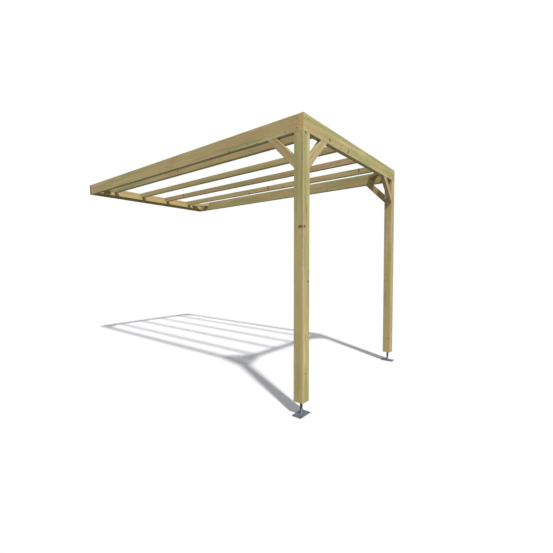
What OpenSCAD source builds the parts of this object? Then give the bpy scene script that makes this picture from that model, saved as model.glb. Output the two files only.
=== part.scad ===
// Lean-to pergola in planed timber: a wall plate, a front beam on two posts, two side beams
// and four rafters, stiffened by diagonal braces and stood on adjustable steel feet.
//
// +X points away from the wall, +Y to the right for someone facing the wall, +Z up.
// The origin is the middle of the wall plate's back face, where it is fixed to the wall.

/* [Overall] */
// Width along the wall, over the side beams
frame_w = 2130; // [1500:5:3200]
// Projection from the wall to the front beam's outer face
frame_d = 3985; // [2400:5:4800]
// Height of the beams' tops above the ground
frame_h = 2500; // [2000:5:3000]

/* [Beams] */
// Thickness of the wall plate, front beam and side beams
beam_t = 45; // [36:1:60]
// Depth of the wall plate, front beam and side beams
beam_h = 145; // [115:1:195]

/* [Posts] */
// Side of the square posts
post_s = 95; // [80:1:120]

/* [Rafters] */
// Thickness of a rafter
rafter_t = 45; // [34:1:60]
// Depth of a rafter, whose top is level with the beams' tops
rafter_h = 70; // [50:1:90]
// Gap between the end of a corner brace and the rafter next to it
end_gap = 3; // [1:0.5:60]

/* [Ledgers] */
// How far the batten under the rafters' ends stands out from its beam
ledger_t = 45; // [25:1:60]
// Height of the batten under the rafters' ends
ledger_h = 45; // [20:1:60]

/* [Braces] */
// Thickness of the braces
brace_t = 45; // [30:1:50]
// Width of a brace, seen square to its broad face
brace_b = 70; // [50:1:90]
// Reach of a knee brace along the beam and down the post, at its outer edge
knee_leg = 285; // [200:1:400]
// Reach of a corner brace along both beams, at its outer edge
corner_leg = 285; // [200:1:400]

/* [Feet] */
// Height of the posts' undersides above the ground
foot_lift = 115; // [60:1:200]
// Diameter of the threaded rod under a post
rod_d = 24; // [16:1:30]
// Length of the rod inside the post
rod_in = 90; // [50:1:200]
// Clearance of the rod in its bore, on the radius
rod_play = 0.3; // [0.1:0.1:1]
// Long side of a foot plate
plate_l = 150; // [120:1:200]
// Short side of a foot plate
plate_w = 90; // [70:1:120]
// Thickness of a foot plate
plate_t = 6; // [4:0.5:12]
// Diameter of the bolt holes in a foot plate
hole_d = 12; // [8:0.5:16]
// Distance from a hole's centre to the plate's edges
hole_edge = 18; // [12:1:25]

/* [Hidden] */

RAFTERS = 4;
LEFT = -1;
RIGHT = 1;
CUT = 1;                                  // how far a cutting shape runs past the face it cuts
$fn = 48;

half_w = frame_w / 2;
top_z = beam_h / 2;                       // the origin is halfway up the wall plate
under_z = top_z - beam_h;                 // underside of the beams
ground_z = top_z - frame_h;
post_z = ground_z + foot_lift;            // underside of the posts
inner_y = half_w - beam_t;                // inner face of a side beam
side_len = frame_d - 2 * beam_t;          // clear length between the wall plate and the front beam
end_bay = corner_leg + end_gap;           // clear gap between a side beam and the next rafter
first_rafter_y = -inner_y + end_bay;      // left face of the first rafter
rafter_step = (2 * (inner_y - end_bay) - rafter_t) / (RAFTERS - 1);
rest_z = top_z - rafter_h;                // top of the battens that the rafters and braces lie on

TIMBER = [0.66, 0.60, 0.40];
TIMBER_DARK = [0.55, 0.50, 0.34];
STEEL = [0.42, 0.45, 0.50];

// A level plank from one corner, sized along X, Y and Z
module plank(corner, size) {
    color(TIMBER) translate(corner) cube(size);
}

// A diagonal in the corner of the X and Y axes: both ends cut flush with the axes' faces.
// leg is its reach along each axis at the outer edge, wide its width and thick its height.
module diagonal(leg, wide, thick) {
    inner = leg - wide * sqrt(2);
    linear_extrude(thick) polygon([[inner, 0], [leg, 0], [0, leg], [0, inner]]);
}

// Mirrors a right-hand piece to the left
module on_side(side) {
    mirror([0, side == LEFT ? 1 : 0, 0]) children();
}

module wall_plate() {
    plank([0, -half_w, under_z], [beam_t, frame_w, beam_h]);
}

module front_beam() {
    plank([frame_d - beam_t, -half_w, under_z], [beam_t, frame_w, beam_h]);
}

// Batten under the rafters on the wall plate, from one side beam to the other
module wall_ledger() {
    plank([beam_t, -inner_y, rest_z - ledger_h], [ledger_t, 2 * inner_y, ledger_h]);
}

// The same on the front beam, between the posts' heads
module front_ledger() {
    half = half_w - post_s;
    plank([frame_d - beam_t - ledger_t, -half, rest_z - ledger_h], [ledger_t, 2 * half, ledger_h]);
}

module rafter(i) {
    plank([beam_t, first_rafter_y + (i - 1) * rafter_step, rest_z], [side_len, rafter_t, rafter_h]);
}

module side_beam(side) {
    on_side(side) plank([beam_t, inner_y, under_z], [side_len, beam_t, beam_h]);
}

// The post's outer faces are level with the beams', which lap over its notched head
module post(side) {
    post_h = top_z - post_z;
    on_side(side) color(TIMBER)
        difference() {
            translate([frame_d - post_s, half_w - post_s, post_z]) cube([post_s, post_s, post_h]);
            translate([frame_d - beam_t, half_w - post_s - CUT, under_z])
                cube([beam_t + CUT, post_s + 2 * CUT, beam_h + CUT]);
            translate([frame_d - post_s - CUT, half_w - beam_t, under_z])
                cube([post_s + 2 * CUT, beam_t + CUT, beam_h + CUT]);
            translate([post_x(), post_y(), post_z - CUT]) cylinder(h = rod_in + CUT, r = rod_d / 2 + rod_play);
        }
}

// Centre of the right-hand post
function post_x() = frame_d - post_s / 2;
function post_y() = half_w - post_s / 2;

// Diagonal in the plane of the side beam, from its underside to the post's back face
module knee_brace_side(side) {
    on_side(side) color(TIMBER)
        translate([frame_d - post_s, half_w, under_z]) rotate([90, 0, 0]) mirror([1, 0, 0]) mirror([0, 1, 0])
            diagonal(knee_leg, brace_b, brace_t);
}

// Diagonal in the plane of the front beam, from its underside to the post's inner side face
module knee_brace_front(side) {
    on_side(side) color(TIMBER)
        translate([frame_d - brace_t, half_w - post_s, under_z]) rotate([90, 0, 90]) mirror([1, 0, 0]) mirror([0, 1, 0])
            diagonal(knee_leg, brace_b, brace_t);
}

// Level diagonal between the wall plate and a side beam, lying on the batten
module corner_brace_wall(side) {
    on_side(side) color(TIMBER_DARK)
        translate([beam_t, inner_y, rest_z]) mirror([0, 1, 0])
            diagonal(corner_leg, brace_b, brace_t);
}

// Level diagonal between the front beam and a side beam, lying on the batten
module corner_brace_front(side) {
    on_side(side) color(TIMBER_DARK)
        translate([frame_d - beam_t, inner_y, rest_z]) mirror([1, 0, 0]) mirror([0, 1, 0])
            diagonal(corner_leg, brace_b, brace_t);
}

// Threaded rod from the foot plate up into the post
module foot_rod(side) {
    rod_len = foot_lift - plate_t + rod_in;
    on_side(side) color(STEEL)
        translate([post_x(), post_y(), ground_z + plate_t]) cylinder(h = rod_len, d = rod_d);
}

// Square-cut plate on the ground; the left one lies with its long side along Y, the right one along X
module foot_plate(side) {
    size_x = side == LEFT ? plate_w : plate_l;
    size_y = side == LEFT ? plate_l : plate_w;
    on_side(side) color(STEEL)
        translate([post_x(), post_y(), ground_z])
            difference() {
                translate([-size_x / 2, -size_y / 2, 0]) cube([size_x, size_y, plate_t]);
                for (sx = [-1, 1], sy = [-1, 1])
                    translate([sx * (size_x / 2 - hole_edge), sy * (size_y / 2 - hole_edge), -CUT])
                        cylinder(h = plate_t + 2 * CUT, d = hole_d);
            }
}

wall_plate();
wall_ledger();
front_beam();
front_ledger();
for (i = [1:RAFTERS])
    rafter(i);
for (side = [LEFT, RIGHT]) {
    name = side == LEFT ? "left" : "right";
    side_beam(side);
    post(side);
    knee_brace_side(side);
    knee_brace_front(side);
    corner_brace_wall(side);
    corner_brace_front(side);
    foot_rod(side);
    foot_plate(side);
}
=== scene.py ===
"""Looks of the lean-to pergola: sawn and planed timber boards with eased edges, heartwood, knots,
drying cracks and end grain, screws at the joints, and weathered zinc on the adjustable feet."""

import math
import random

import bmesh
import bpy
from mathutils import Matrix, Vector, noise


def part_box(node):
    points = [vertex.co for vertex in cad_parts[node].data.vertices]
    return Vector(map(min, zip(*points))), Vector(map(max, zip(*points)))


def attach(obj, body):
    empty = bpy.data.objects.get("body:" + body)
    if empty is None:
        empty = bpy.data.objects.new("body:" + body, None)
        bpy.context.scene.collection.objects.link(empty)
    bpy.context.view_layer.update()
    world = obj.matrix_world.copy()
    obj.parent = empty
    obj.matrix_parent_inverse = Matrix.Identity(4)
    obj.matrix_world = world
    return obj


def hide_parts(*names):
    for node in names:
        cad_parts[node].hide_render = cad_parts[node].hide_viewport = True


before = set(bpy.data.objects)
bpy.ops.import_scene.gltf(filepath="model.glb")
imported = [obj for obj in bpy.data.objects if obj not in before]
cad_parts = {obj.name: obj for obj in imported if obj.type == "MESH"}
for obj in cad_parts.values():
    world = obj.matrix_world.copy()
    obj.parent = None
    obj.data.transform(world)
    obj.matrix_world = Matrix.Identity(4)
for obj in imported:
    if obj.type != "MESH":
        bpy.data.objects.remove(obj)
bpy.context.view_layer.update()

LEFT, RIGHT = -1, 1
SIDES = {"left": LEFT, "right": RIGHT}

# ---------------------------------------------------------------- places taken from the frame
plate_lo, plate_hi = (Vector(v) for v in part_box("wall_plate"))
front_hi = Vector(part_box("front_beam")[1])
post_lo, post_hi = (Vector(v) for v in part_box("post_right"))
rafter_lo = Vector(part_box("rafter_1")[0])
knee_lo, knee_hi = (Vector(v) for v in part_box("knee_brace_side_right"))
corner_lo, corner_hi = (Vector(v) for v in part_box("corner_brace_wall_right"))
rod_lo, rod_hi = (Vector(v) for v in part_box("foot_rod_right"))
foot_lo, foot_hi = (Vector(v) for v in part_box("foot_plate_right"))

TOP = plate_hi.z
UNDER = plate_lo.z
GROUND = foot_lo.z
REST = rafter_lo.z                        # underside of the rafters
FRONT = front_hi.x                        # outer face of the front beam
HALF_W = front_hi.y
BOARD = plate_hi.x                        # thickness of the beams
POST = post_hi.x - post_lo.x
POST_X = (post_lo.x + post_hi.x) / 2
POST_Y = (post_lo.y + post_hi.y) / 2
KNEE_LEG = knee_hi.x - knee_lo.x
CORNER_LEG = corner_hi.x - corner_lo.x
BRACE_T = corner_hi.z - corner_lo.z
brace_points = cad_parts["corner_brace_wall_right"].data.vertices
brace_xs = sorted({round(v.co.x, 4) for v in brace_points})
BRACE_W = (brace_xs[-1] - brace_xs[1]) / math.sqrt(2)


# ---------------------------------------------------------------- materials
class Nodes:
    """A short hand for building a node tree."""

    def __init__(self, name):
        self.material = bpy.data.materials.new(name)
        self.material.use_nodes = True
        self.tree = self.material.node_tree
        self.tree.nodes.clear()
        self.shader = self.add("ShaderNodeBsdfPrincipled")
        out = self.add("ShaderNodeOutputMaterial")
        self.link(self.shader.outputs[0], out.inputs[0])

    def add(self, kind, **settings):
        node = self.tree.nodes.new(kind)
        for key, value in settings.items():
            setattr(node, key, value)
        return node

    def link(self, source, target):
        self.tree.links.new(source, target)

    def feed(self, socket, value):
        """Links a socket to another node's output, or sets it."""
        if isinstance(value, bpy.types.NodeSocket):
            self.link(value, socket)
        else:
            socket.default_value = value

    def math(self, operation, a, b=0.0, clamp=False):
        node = self.add("ShaderNodeMath", operation=operation, use_clamp=clamp)
        self.feed(node.inputs[0], a)
        self.feed(node.inputs[1], b)
        return node.outputs[0]

    def mix(self, factor, a, b):
        """Mixes two colours. The sockets go by number, because the node has several of each name."""
        node = self.add("ShaderNodeMix", data_type="RGBA")
        self.feed(node.inputs[0], factor)
        self.feed(node.inputs[6], a)
        self.feed(node.inputs[7], b)
        return node.outputs[2]

    def ramp(self, value, low, high):
        """0 at low and under, 1 at high and over, smooth between them."""
        node = self.add("ShaderNodeMapRange", interpolation_type="SMOOTHSTEP")
        self.feed(node.inputs["Value"], value)
        node.inputs["From Min"].default_value = low
        node.inputs["From Max"].default_value = high
        return node.outputs["Result"]

    def noise(self, vector, scale, detail=2.0, rough=0.5, warp=0.0):
        node = self.add("ShaderNodeTexNoise")
        self.feed(node.inputs["Vector"], vector)
        node.inputs["Scale"].default_value = scale
        node.inputs["Detail"].default_value = detail
        node.inputs["Roughness"].default_value = rough
        node.inputs["Distortion"].default_value = warp
        return node.outputs["Fac"]

    def stretch(self, vector, scale):
        node = self.add("ShaderNodeMapping", vector_type="POINT")
        self.feed(node.inputs["Vector"], vector)
        node.inputs["Scale"].default_value = scale
        return node.outputs["Vector"]

    def bump(self, height, strength, distance):
        node = self.add("ShaderNodeBump")
        node.inputs["Strength"].default_value = strength
        node.inputs["Distance"].default_value = distance
        self.feed(node.inputs["Height"], height)
        return node.outputs["Normal"]


def rgb(r, g, b):
    return (r, g, b, 1.0)


HEART = rgb(0.460, 0.310, 0.155)          # pinkish brown heartwood
SAP = rgb(0.480, 0.400, 0.180)            # yellow-green treated sapwood
GREEN = rgb(0.310, 0.322, 0.128)          # where the preservative lies thick
PALE = rgb(0.640, 0.545, 0.320)           # early wood between the rings
LATE = rgb(0.190, 0.125, 0.050)           # dark late wood
KNOT = rgb(0.115, 0.052, 0.020)
END_WARM = rgb(0.580, 0.330, 0.075)       # freshly cut ends
END_DARK = rgb(0.170, 0.105, 0.050)         # dark brown cut ends, on the boards with the most warmth
CRACK = rgb(0.050, 0.035, 0.018)
RING = 0.0046                             # width of a growth ring


KNOTS_ALONG = 2.6                         # cells of branches per metre of trunk
KNOTS_ROUND = 0.80                        # cells per radian round the trunk
KNOT_SIZE = 0.0125                        # radius of the largest knots, in metres


def knot_field(n, place, radius):
    """Branches run out from the tree's middle, so they are cells of (length, angle) round it.
    Returns the distance to the nearest branch in metres, and that branch's random colour."""
    axis = n.add("ShaderNodeSeparateXYZ")
    n.link(place, axis.inputs[0])
    angle = n.math("ARCTAN2", axis.outputs["Z"], axis.outputs["Y"])
    cell = n.add("ShaderNodeCombineXYZ")
    n.link(n.math("MULTIPLY", axis.outputs["X"], KNOTS_ALONG), cell.inputs["X"])
    n.link(n.math("MULTIPLY", angle, KNOTS_ROUND), cell.inputs["Y"])
    branch = n.add("ShaderNodeTexVoronoi", feature="F1", voronoi_dimensions="2D")
    n.link(cell.outputs[0], branch.inputs["Vector"])
    branch.inputs["Scale"].default_value = 1.0
    gap = n.add("ShaderNodeVectorMath", operation="SUBTRACT")
    n.link(cell.outputs[0], gap.inputs[0])
    n.link(branch.outputs["Position"], gap.inputs[1])
    parts = n.add("ShaderNodeSeparateXYZ")
    n.link(gap.outputs[0], parts.inputs[0])
    along = n.math("MULTIPLY", parts.outputs["X"], 1 / KNOTS_ALONG)
    round_it = n.math("MULTIPLY", n.math("MULTIPLY", parts.outputs["Y"], 1 / KNOTS_ROUND), radius)
    wobble = n.math("MULTIPLY", n.math("SUBTRACT", n.noise(place, 130.0, 2.0), 0.5), 0.006)
    square = n.math("ADD", n.math("MULTIPLY", along, along), n.math("MULTIPLY", round_it, round_it))
    tint = n.add("ShaderNodeSeparateColor")
    n.link(branch.outputs["Color"], tint.inputs["Color"])
    return n.math("ADD", n.math("SQRT", square), wobble), tint.outputs


def timber():
    """Boards carry their own coordinates: "grain" runs along the board in metres, with the tree's
    middle at y = z = 0. "tone" holds each board's warmth and lightness, "cut_end" marks sawn ends,
    and "worn" marks the eased edges."""
    n = Nodes("timber")
    place = n.add("ShaderNodeAttribute", attribute_name="grain").outputs["Vector"]
    tone = n.add("ShaderNodeAttribute", attribute_name="tone").outputs["Vector"]
    ends = n.add("ShaderNodeAttribute", attribute_name="cut_end").outputs["Fac"]
    worn = n.add("ShaderNodeAttribute", attribute_name="worn").outputs["Fac"]
    tones = n.add("ShaderNodeSeparateXYZ")
    n.link(tone, tones.inputs[0])
    warm, light = tones.outputs[0], tones.outputs[1]

    # growth rings are cylinders round the tree's middle, wandering along the board
    drift = n.add("ShaderNodeTexNoise")
    n.link(n.stretch(place, (1.0, 9.0, 9.0)), drift.inputs["Vector"])
    drift.inputs["Scale"].default_value = 1.0
    drift.inputs["Detail"].default_value = 3.0
    centred = n.add("ShaderNodeVectorMath", operation="SUBTRACT")
    n.link(drift.outputs["Color"], centred.inputs[0])
    centred.inputs[1].default_value = (0.5, 0.5, 0.5)
    sway = n.add("ShaderNodeVectorMath", operation="SCALE")
    n.link(centred.outputs[0], sway.inputs[0])
    sway.inputs["Scale"].default_value = 0.050
    moved = n.add("ShaderNodeVectorMath", operation="ADD")
    n.link(place, moved.inputs[0])
    n.link(sway.outputs[0], moved.inputs[1])
    grain = moved.outputs[0]
    axis = n.add("ShaderNodeSeparateXYZ")
    n.link(grain, axis.inputs[0])
    y_y = n.math("MULTIPLY", axis.outputs["Y"], axis.outputs["Y"])
    z_z = n.math("MULTIPLY", axis.outputs["Z"], axis.outputs["Z"])
    radius = n.math("SQRT", n.math("ADD", y_y, z_z))

    reach, pick = knot_field(n, place, radius)
    size = n.math("MULTIPLY", n.ramp(pick[0], 0.42, 1.0), KNOT_SIZE)
    size = n.math("ADD", size, 0.0001)
    near = n.math("DIVIDE", reach, size)
    halo = n.math("SUBTRACT", 1.0, n.ramp(near, 0.6, 3.4))
    core = n.math("SUBTRACT", 1.0, n.ramp(near, 0.70, 1.05))
    rim = n.math("SUBTRACT", 1.0, n.ramp(n.math("ABSOLUTE", n.math("SUBTRACT", near, 1.0)), 0.0, 0.28))

    bent = n.math("ADD", radius, n.math("MULTIPLY", n.math("MULTIPLY", halo, halo), 0.012))
    saw = n.math("FRACT", n.math("MULTIPLY", bent, 1 / RING))
    late = n.math("MULTIPLY", n.math("POWER", saw, 2.4), n.math("SUBTRACT", 1.0, n.ramp(saw, 0.90, 1.0)))

    fibre = n.noise(n.stretch(grain, (7.0, 520.0, 520.0)), 1.0, 3.0, 0.6)
    streak = n.noise(n.stretch(grain, (0.9, 30.0, 30.0)), 1.0, 4.0, 0.6)
    patch = n.noise(n.stretch(place, (1.5, 7.0, 7.0)), 1.0, 3.0, 0.6)
    damp = n.noise(n.stretch(place, (1.1, 17.0, 17.0)), 1.0, 3.0, 0.55, 0.8)

    heart = n.math("ADD", n.math("ADD", streak, patch), n.math("MULTIPLY", warm, 0.60))
    colour = n.mix(n.ramp(heart, 1.12, 1.42), SAP, HEART)
    colour = n.mix(n.math("MULTIPLY", n.ramp(damp, 0.47, 0.62), 0.85), colour, GREEN)
    colour = n.mix(n.math("MULTIPLY", n.ramp(streak, 0.50, 0.70), 0.55), colour, PALE)
    colour = n.mix(n.math("MULTIPLY", late, 0.50), colour, LATE)
    colour = n.mix(n.math("MULTIPLY", n.ramp(fibre, 0.44, 0.72), 0.26), colour, LATE)

    sawn = n.mix(n.ramp(n.noise(place, 38.0, 4.0, 0.65), 0.40, 0.62), END_WARM, SAP)
    # boards with more warmth get darker cut ends, fully dark brown from a warmth of 0.55, as on the wall
    # plate
    sawn = n.mix(n.ramp(warm, 0.35, 0.55), sawn, END_DARK)
    sawn = n.mix(n.math("MULTIPLY", late, 0.60), sawn, LATE)
    colour = n.mix(n.math("MULTIPLY", ends, 0.85), colour, sawn)

    colour = n.mix(n.math("MULTIPLY", halo, 0.38), colour, HEART)
    colour = n.mix(n.math("MULTIPLY", core, 0.80), colour, KNOT)
    colour = n.mix(n.math("MULTIPLY", rim, 0.55), colour, CRACK)

    # drying cracks follow the grain in short runs
    line = n.noise(n.stretch(grain, (1.6, 95.0, 95.0)), 1.0, 1.0, 0.4)
    runs = n.ramp(n.noise(n.stretch(place, (2.3, 9.0, 9.0)), 1.0, 2.0, 0.5), 0.60, 0.66)
    thin = n.math("SUBTRACT", 1.0, n.ramp(n.math("ABSOLUTE", n.math("SUBTRACT", line, 0.5)), 0.0, 0.012))
    crack = n.math("MULTIPLY", n.math("MULTIPLY", thin, runs), n.math("SUBTRACT", 1.0, ends))
    colour = n.mix(n.math("MULTIPLY", crack, 0.85), colour, CRACK)

    rub = n.ramp(n.noise(place, 70.0, 4.0, 0.65), 0.40, 0.70)
    colour = n.mix(n.math("MULTIPLY", n.math("MULTIPLY", worn, rub), 0.35), colour, PALE)

    shade = n.add("ShaderNodeHueSaturation")
    n.link(colour, shade.inputs["Color"])
    n.link(n.math("ADD", n.math("MULTIPLY", light, 0.36), 0.84), shade.inputs["Value"])
    n.link(shade.outputs[0], n.shader.inputs["Base Color"])

    n.shader.inputs["Specular IOR Level"].default_value = 0.25
    n.link(n.math("ADD", n.math("MULTIPLY", fibre, 0.25), 0.58), n.shader.inputs["Roughness"])
    height = n.math("ADD", n.math("MULTIPLY", fibre, 0.6), n.math("MULTIPLY", late, 0.3))
    height = n.math("SUBTRACT", height, n.math("MULTIPLY", crack, 1.6))
    height = n.math("SUBTRACT", height, n.math("MULTIPLY", rim, 0.6))
    n.link(n.bump(height, 0.5, 0.0006), n.shader.inputs["Normal"])
    return n.material


def zinc():
    """Dark weathered zinc with pale scuffs and a little rust in the low spots."""
    n = Nodes("weathered_zinc")
    place = n.add("ShaderNodeTexCoord").outputs["Object"]
    cloud = n.noise(place, 55.0, 5.0, 0.6)
    spangle = n.add("ShaderNodeTexVoronoi", feature="F1")
    n.link(place, spangle.inputs["Vector"])
    spangle.inputs["Scale"].default_value = 240.0
    grit = n.noise(place, 900.0, 3.0, 0.7)
    colour = n.mix(n.ramp(cloud, 0.35, 0.65), rgb(0.085, 0.100, 0.125), rgb(0.185, 0.205, 0.240))
    colour = n.mix(n.math("MULTIPLY", spangle.outputs["Distance"], 0.30), colour, rgb(0.36, 0.38, 0.41))
    rust = n.ramp(n.noise(place, 120.0, 6.0, 0.7), 0.62, 0.74)
    colour = n.mix(n.math("MULTIPLY", rust, 0.55), colour, rgb(0.165, 0.070, 0.028))
    n.link(colour, n.shader.inputs["Base Color"])
    n.shader.inputs["Metallic"].default_value = 0.6
    rough = n.math("ADD", n.math("MULTIPLY", cloud, 0.30), 0.36)
    n.link(n.math("ADD", rough, n.math("MULTIPLY", rust, 0.3)), n.shader.inputs["Roughness"])
    height = n.math("ADD", grit, n.math("MULTIPLY", rust, 0.7))
    n.link(n.bump(height, 0.25, 0.0004), n.shader.inputs["Normal"])
    return n.material


def screw_steel():
    """Coated screw heads, dull from the weather."""
    n = Nodes("screw_steel")
    place = n.add("ShaderNodeTexCoord").outputs["Object"]
    cloud = n.noise(place, 700.0, 4.0, 0.6)
    n.link(n.mix(cloud, rgb(0.10, 0.085, 0.060), rgb(0.26, 0.23, 0.17)), n.shader.inputs["Base Color"])
    n.shader.inputs["Metallic"].default_value = 0.7
    n.link(n.math("ADD", n.math("MULTIPLY", cloud, 0.35), 0.32), n.shader.inputs["Roughness"])
    return n.material


FLOOR_SHOWN = rgb(0.635, 0.635, 0.65)     # the floor's colour for the camera
FLOOR_DIM = rgb(0.17, 0.17, 0.17)         # and for the light that it throws back at the timber


def pale_floor():
    """Plain pale studio floor that throws little light back up at the timber."""
    n = Nodes("pale_floor")
    seen = n.add("ShaderNodeLightPath").outputs["Is Camera Ray"]
    n.link(n.mix(seen, FLOOR_DIM, FLOOR_SHOWN), n.shader.inputs["Base Color"])
    n.shader.inputs["Roughness"].default_value = 0.9
    n.shader.inputs["Specular IOR Level"].default_value = 0.1
    return n.material


TIMBER = timber()
ZINC = zinc()
SCREW = screw_steel()


# ---------------------------------------------------------------- mesh help
def joined(name, bm, material, slot, *nodes):
    """A finished piece from mesh data, in a material slot, in place of the CAD nodes it is given. The slot
    argument is not used.
    """
    bmesh.ops.recalc_face_normals(bm, faces=bm.faces)
    mesh = bpy.data.meshes.new(name)
    bm.to_mesh(mesh)
    bm.free()
    mesh.materials.append(material)
    piece = bpy.data.objects.new(name, mesh)
    bpy.context.scene.collection.objects.link(piece)
    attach(piece, "root")
    if nodes:
        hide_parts(*nodes)
    return piece


def skin(bm, rings):
    """Joins rings of points into a closed smooth skin, and returns its two end faces."""
    count = len(rings[0])
    for a, b in zip(rings, rings[1:]):
        for k in range(count):
            m = (k + 1) % count
            bm.faces.new((a[k], a[m], b[m], b[k])).smooth = True
    return bm.faces.new(rings[0][::-1]), bm.faces.new(rings[-1])


# ---------------------------------------------------------------- boards
EDGE = 0.0030                             # radius of a planed board's eased edges
END_EASE = 0.0009                         # how far the saw's fuzz is rubbed off a cut end
SECTION_STEP = 0.05                       # distance between a board's cross sections
FLAT_STEP = 0.016                         # distance between points across a board's faces
WEAR = 0.0012                             # deepest dent in an edge
ARC = 4                                   # faces round an eased edge
PITH_NEAR = 0.045                         # least distance from a board's middle to the tree's
PITH_FAR = 0.10                           # greatest distance
PITH_ASIDE = 0.03                         # how far to either side the tree's middle may lie
TRUNK = 60                                # length of trunk, in metres, that boards are picked from


def section(width, height):
    """Outline round (0, 0) with rounded corners: (y, z, corner) for each point, counter-clockwise."""
    corners = []
    for sy, sz, turn in ((1, 1, 0), (-1, 1, 1), (-1, -1, 2), (1, -1, 3)):
        for k in range(ARC + 1):
            angle = (turn + k / ARC) * math.pi / 2
            y = sy * (width / 2 - EDGE) + EDGE * math.cos(angle)
            z = sz * (height / 2 - EDGE) + EDGE * math.sin(angle)
            corners.append((y, z))
    points = []
    for i, (y, z) in enumerate(corners):
        points.append((y, z, 1.0))
        next_y, next_z = corners[(i + 1) % len(corners)]
        gap = math.hypot(next_y - y, next_z - z)
        if gap > FLAT_STEP:
            parts = math.ceil(gap / FLAT_STEP)
            points += [(y + (next_y - y) * k / parts, z + (next_z - z) * k / parts, 0.0)
                       for k in range(1, parts)]
    return points


def stick(bm, layers, place, length, width, height, tone, pith, mitre=0.0, shift=0.0):
    """One length of timber along its own x axis, centred on the origin, moved into the frame by
    place. mitre tilts both ends, so that the board is longer at +z than at -z."""
    grain, tones, cut_end, worn = layers
    outline = section(width, height)
    steps = max(2, round(length / SECTION_STEP))
    stations = [-0.5 + k / steps for k in range(steps + 1)]
    rings = [(-0.5, END_EASE)] + [(t, 0.0) for t in stations] + [(0.5, END_EASE)]
    made = []
    for k, (t, inset) in enumerate(rings):
        at_end = k in (0, 1, len(rings) - 2, len(rings) - 1)
        ring = []
        for y, z, corner in outline:
            x = t * (length + 2 * mitre * z)
            if k in (1, len(rings) - 2):
                x -= math.copysign(END_EASE, t)
            dent = 0.0
            if corner and not at_end:
                rough = noise.noise(Vector((x * 9 + shift, y * 60, z * 60)))
                dent = WEAR * max(0.0, rough - 0.15)
            trim = 2 * (inset + dent)
            local = Vector((x, y * (1 - trim / width), z * (1 - trim / height)))
            vertex = bm.verts.new(place @ local)
            vertex[grain] = Vector((x + shift, local.y - pith[0], local.z - pith[1]))
            vertex[tones] = tone
            vertex[worn] = corner
            ring.append(vertex)
        made.append(ring)
    for cap in skin(bm, made):
        cap[cut_end] = 1.0
    for ring in (made[0], made[1], made[-2], made[-1]):
        for a, b in zip(ring, ring[1:] + ring[:1]):
            bm.edges.get((a, b)).smooth = False


def board(node, *sticks, warmth=0.5, light=0.5, seed=0):
    """A finished timber that stands for one CAD node, made of one or more sticks."""
    chance = random.Random(seed)
    bm = bmesh.new()
    layers = (bm.verts.layers.float_vector.new("grain"), bm.verts.layers.float_vector.new("tone"),
              bm.faces.layers.float.new("cut_end"), bm.verts.layers.float.new("worn"))
    chance.random()                       # unused: the draws after it set the grain
    tone = Vector((warmth, light, 0))
    below = chance.choice((LEFT, RIGHT)) * chance.uniform(PITH_NEAR, PITH_FAR)
    pith = (chance.uniform(-PITH_ASIDE, PITH_ASIDE), below)
    shift = chance.uniform(0, TRUNK)
    for place, length, width, height, mitre in sticks:
        stick(bm, layers, place, length, width, height, tone, pith, mitre, shift)
    piece = joined("timber_" + node, bm, TIMBER, "timber", node)
    flat = piece.modifiers.new("flat_faces", "WEIGHTED_NORMAL")
    flat.keep_sharp = True


def axes(origin, along, up):
    """Matrix whose x runs along and whose z points up, at an origin."""
    x = Vector(along).normalized()
    z = Vector(up).normalized()
    y = z.cross(x)
    turn = Matrix((x, y, z)).transposed().to_4x4()
    return Matrix.Translation(origin) @ turn


def straight(node, along, **looks):
    """A plain board that fills its CAD node's box, lying along X or Y."""
    lo, hi = (Vector(v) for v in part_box(node))
    size = hi - lo
    middle = (lo + hi) / 2
    if along == "X":
        board(node, (axes(middle, (1, 0, 0), (0, 0, 1)), size.x, size.y, size.z, 0.0), **looks)
    else:
        board(node, (axes(middle, (0, 1, 0), (0, 0, 1)), size.y, size.x, size.z, 0.0), **looks)


def brace(node, corner, toward_a, toward_b, leg, **looks):
    """A diagonal with mitred ends across the corner between two directions."""
    a, b = Vector(toward_a), Vector(toward_b)
    out = (a + b).normalized()
    along = (b - a).normalized()
    mid_leg = leg - BRACE_W / math.sqrt(2)
    middle = Vector(corner) + (a + b) * mid_leg / 2
    board(node, (axes(middle, along, out), mid_leg * math.sqrt(2), BRACE_T, BRACE_W, 1.0), **looks)


def posts():
    """Each post is a shaft up to the beams' undersides, and a tongue in the corner between them."""
    for name, side in SIDES.items():
        node = "post_" + name
        lo, hi = (Vector(v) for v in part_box(node))
        middle = ((lo.x + hi.x) / 2, (lo.y + hi.y) / 2, (lo.z + UNDER) / 2)
        shaft = (axes(middle, (0, 0, 1), (1, 0, 0)), UNDER - lo.z, hi.y - lo.y, hi.x - lo.x, 0.0)
        tongue = POST - BOARD
        inner_y = side * (HALF_W - BOARD - tongue / 2)
        middle = (lo.x + tongue / 2, inner_y, (UNDER + TOP - END_EASE) / 2)
        head = (axes(middle, (0, 0, 1), (1, 0, 0)), TOP - UNDER + END_EASE, tongue, tongue, 0.0)
        board(node, shaft, head, warmth=0.30 + 0.15 * side, light=0.60, seed=31 + side)


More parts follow.
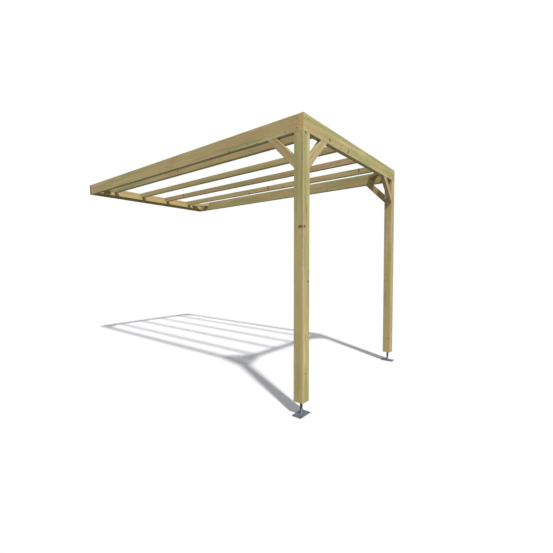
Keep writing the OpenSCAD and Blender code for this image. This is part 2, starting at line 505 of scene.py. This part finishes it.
def braces():
    inner_y = HALF_W - BOARD
    for name, side in SIDES.items():
        seed = 60 + 10 * side
        brace("knee_brace_side_" + name, (FRONT - POST, side * (HALF_W - BRACE_T / 2), UNDER),
              (-1, 0, 0), (0, 0, -1), KNEE_LEG, warmth=0.62, light=0.45, seed=seed)
        brace("knee_brace_front_" + name, (FRONT - BRACE_T / 2, side * (HALF_W - POST), UNDER),
              (0, -side, 0), (0, 0, -1), KNEE_LEG, warmth=0.50, light=0.50, seed=seed + 1)
        brace("corner_brace_wall_" + name, (BOARD, side * inner_y, REST + BRACE_T / 2),
              (1, 0, 0), (0, -side, 0), CORNER_LEG, warmth=0.35, light=0.40, seed=seed + 2)
        brace("corner_brace_front_" + name, (FRONT - BOARD, side * inner_y, REST + BRACE_T / 2),
              (-1, 0, 0), (0, -side, 0), CORNER_LEG, warmth=0.45, light=0.45, seed=seed + 3)


def beams():
    straight("wall_plate", "Y", warmth=0.60, light=0.50, seed=2)
    straight("front_beam", "Y", warmth=0.25, light=0.65, seed=3)
    straight("wall_ledger", "Y", warmth=0.30, light=0.60, seed=4)
    straight("front_ledger", "Y", warmth=0.45, light=0.45, seed=5)
    straight("side_beam_left", "X", warmth=0.34, light=0.50, seed=6)
    straight("side_beam_right", "X", warmth=0.40, light=0.50, seed=7)
    looks = ((0.35, 0.50), (0.20, 0.45), (0.75, 0.50), (0.30, 0.50))
    for i, (warmth, light) in enumerate(looks):
        straight("rafter_%d" % (i + 1), "X", warmth=warmth, light=light, seed=10 + i)


# ---------------------------------------------------------------- hardware
HEAD_R = 0.0052                           # radius of a countersunk screw head
STAR_R = 0.42                             # mean radius of its star recess, as a share of HEAD_R
STAR_LOBE = 0.075                         # how far the star's lobes swing from that radius
STAR = "star"


def screw_head(bm, point, outward, turn):
    """Countersunk star-drive head, half a millimetre proud of the wood."""
    up = Vector((0, 0, 1)) if abs(outward[2]) < 0.9 else Vector((1, 0, 0))
    place = axes(point, up.cross(Vector(outward)), outward) @ Matrix.Rotation(turn, 4, "Z")
    lobes, around = 6, 48
    angles = [2 * math.pi * k / around for k in range(around)]
    levels = ((1.08, -0.0008), (1.0, 0.0003), (0.93, 0.0005), (STAR, 0.0004), (STAR, -0.0022))
    rings = []
    for radius, height in levels:
        ring = []
        for angle in angles:
            share = STAR_R + STAR_LOBE * math.cos(lobes * angle) if radius == STAR else radius
            r = HEAD_R * share
            ring.append(bm.verts.new(place @ Vector((r * math.cos(angle), r * math.sin(angle), height))))
        rings.append(ring)
    skin(bm, rings)


INTO_POST = 0.72                          # from the corner into the post's tongue, a share of POST
SCREW_EDGE = 0.035                        # from a beam's top or bottom edge to its screws
BRACE_SCREW = 0.045                       # from a brace's tip to its screw, measured along the leg


def screws():
    """Screws through the beams into each post's head, and through the knee braces' long edges."""
    chance = random.Random(77)
    into_post = POST * INTO_POST
    rows = (SCREW_EDGE, TOP - UNDER - SCREW_EDGE)
    slant = math.sqrt(0.5)
    spots = []
    for side in SIDES.values():
        for drop in rows:
            spots.append(((FRONT - into_post, side * HALF_W, TOP - drop), (0, side, 0)))
            spots.append(((FRONT, side * (HALF_W - into_post), TOP - drop), (1, 0, 0)))
    for side in SIDES.values():
        knee_x, knee_y = FRONT - POST, side * (HALF_W - POST)
        for a, b in ((KNEE_LEG - BRACE_SCREW, BRACE_SCREW), (BRACE_SCREW, KNEE_LEG - BRACE_SCREW)):
            spots.append(((knee_x - a, side * (HALF_W - BRACE_T / 2), UNDER - b), (-slant, 0, -slant)))
            spots.append(((FRONT - BRACE_T / 2, knee_y - side * a, UNDER - b), (0, -side * slant, -slant)))
    bm = bmesh.new()
    for point, outward in spots:
        screw_head(bm, Vector(point), outward, chance.uniform(0, 1))
    joined("screws", bm, SCREW, "steel")


PITCH = 0.003                             # of the rod's thread
THREAD = 0.0011                           # depth of the thread
HIDDEN_ROD = 0.015                        # how far the threaded mesh goes on inside the post
ROD_R = (rod_hi.x - rod_lo.x) / 2


def round_rod(bm, side, radius, angle, height):
    """A mesh point at an angle and a distance round a foot's rod."""
    return bm.verts.new((POST_X + radius * math.cos(angle), side * POST_Y + radius * math.sin(angle), height))


def threaded_rod(name, side):
    """The rod from the foot plate into the post, with a true helical thread."""
    around, per_turn = 40, 6
    shown = post_lo.z - rod_lo.z + HIDDEN_ROD
    bm = bmesh.new()
    rings = []
    for j in range(round(shown / PITCH * per_turn) + 1):
        ring = []
        for k in range(around):
            phase = (j / per_turn - k / around) % 1.0
            groove = min(1.0, max(0.0, 1.35 * abs(2 * phase - 1) - 0.15))
            height = rod_lo.z + j * PITCH / per_turn
            ring.append(round_rod(bm, side, ROD_R - THREAD * groove, 2 * math.pi * k / around, height))
        rings.append(ring)
    skin(bm, rings)
    joined("threaded_rod_" + name, bm, ZINC, "steel", "foot_rod_" + name)


WELD = 0.006                              # leg of the weld bead
RIPPLE = 0.0004                           # height of the ripples along it
UNEVEN = 0.0005                           # how much the leg swells and shrinks
SINK = 0.0003                             # how far the bead starts inside the plate
BITE = 0.001                              # and inside the rod
BULGE = 0.8                               # under 1 fills the bead's face out


def weld(name, side):
    """Fillet of weld metal round the rod's foot, with the ripples of its passes."""
    around, arc = 96, 7
    bm = bmesh.new()
    rings = []
    for j in range(arc + 1):
        angle = j / arc * math.pi / 2
        ring = []
        for k in range(around):
            turn = 2 * math.pi * k / around
            ripple = RIPPLE * math.sin(22 * turn + 1.5 * math.sin(3 * turn))
            size = WELD + ripple + UNEVEN * math.sin(2 * turn + side)
            radius = ROD_R - BITE + size * math.cos(angle) ** BULGE
            height = foot_hi.z - SINK + size * math.sin(angle) ** BULGE
            ring.append(round_rod(bm, side, radius, turn, height))
        rings.append(ring)
    skin(bm, rings)
    joined("rod_weld_" + name, bm, ZINC, "steel")


def foot(name):
    """The foot plate keeps its CAD shape and gets bevelled edges and the zinc finish."""
    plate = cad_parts["foot_plate_" + name]
    plate.data.materials.clear()
    plate.data.materials.append(ZINC)
    ease = plate.modifiers.new("eased_edges", "BEVEL")
    ease.width = 0.0008
    ease.segments = 2
    ease.limit_method = "ANGLE"


# ---------------------------------------------------------------- room, light and camera
SKY = 0.57                                # strength of the light from all round
SUN = 4.3                                 # strength of the sun
SUN_TRAVEL = Vector((-0.6385, 0.3305, -1.0))
FLOOR_HALF = 40.0
SENSOR = 36.0                             # millimetres, as is the lens
LENS = 21.467
EYE = Vector((FRONT + 1.507, -HALF_W - 2.2424, GROUND + 1.2761))
HEADING = math.radians(128.517)           # of the camera's look, turned from +X towards +Y
DIP = math.radians(-2.147)


def sky():
    """Plain soft light from all round, seen as white behind the object."""
    world = bpy.data.worlds.new("studio")
    bpy.context.scene.world = world
    world.use_nodes = True
    tree = world.node_tree
    tree.nodes.clear()
    out = tree.nodes.new("ShaderNodeOutputWorld")
    light = tree.nodes.new("ShaderNodeBackground")
    shown = tree.nodes.new("ShaderNodeBackground")
    mixed = tree.nodes.new("ShaderNodeMixShader")
    path = tree.nodes.new("ShaderNodeLightPath")
    light.inputs["Color"].default_value = (0.93, 0.96, 1.0, 1.0)
    light.inputs["Strength"].default_value = SKY
    shown.inputs["Color"].default_value = (1.0, 1.0, 1.0, 1.0)
    shown.inputs["Strength"].default_value = 1.0
    tree.links.new(path.outputs["Is Camera Ray"], mixed.inputs[0])
    tree.links.new(light.outputs[0], mixed.inputs[1])
    tree.links.new(shown.outputs[0], mixed.inputs[2])
    tree.links.new(mixed.outputs[0], out.inputs[0])


def sun():
    """The key light, from over the left front corner."""
    lamp = bpy.data.lights.new("key", "SUN")
    lamp.energy = SUN
    lamp.angle = math.radians(3.0)
    lamp.color = (1.0, 0.98, 0.95)
    key = bpy.data.objects.new("key", lamp)
    key.rotation_euler = SUN_TRAVEL.to_track_quat("-Z", "Y").to_euler()
    bpy.context.scene.collection.objects.link(key)


def floor():
    """The studio floor that the feet stand on."""
    bm = bmesh.new()
    for x, y in ((-1, -1), (1, -1), (1, 1), (-1, 1)):
        bm.verts.new((x * FLOOR_HALF, y * FLOOR_HALF, GROUND))
    bm.faces.new(bm.verts)
    mesh = bpy.data.meshes.new("floor")
    bm.to_mesh(mesh)
    bm.free()
    mesh.materials.append(pale_floor())
    ground = bpy.data.objects.new("floor", mesh)
    bpy.context.scene.collection.objects.link(ground)


def camera():
    """Just over half a post's height up, outside the near front corner, looking across the frame."""
    lens = bpy.data.cameras.new("camera")
    lens.sensor_width = SENSOR
    lens.lens = LENS
    lens.clip_end = 200
    eye = bpy.data.objects.new("camera", lens)
    eye.location = EYE
    level = math.cos(DIP)
    look = Vector((level * math.cos(HEADING), level * math.sin(HEADING), math.sin(DIP)))
    eye.rotation_euler = look.to_track_quat("-Z", "Y").to_euler()
    bpy.context.scene.collection.objects.link(eye)
    bpy.context.scene.camera = eye


camera()
sky()
sun()
floor()
beams()
posts()
braces()
screws()
for foot_name, foot_side in SIDES.items():
    threaded_rod(foot_name, foot_side)
    weld(foot_name, foot_side)
    foot(foot_name)

bpy.context.scene.view_settings.view_transform = "Standard"
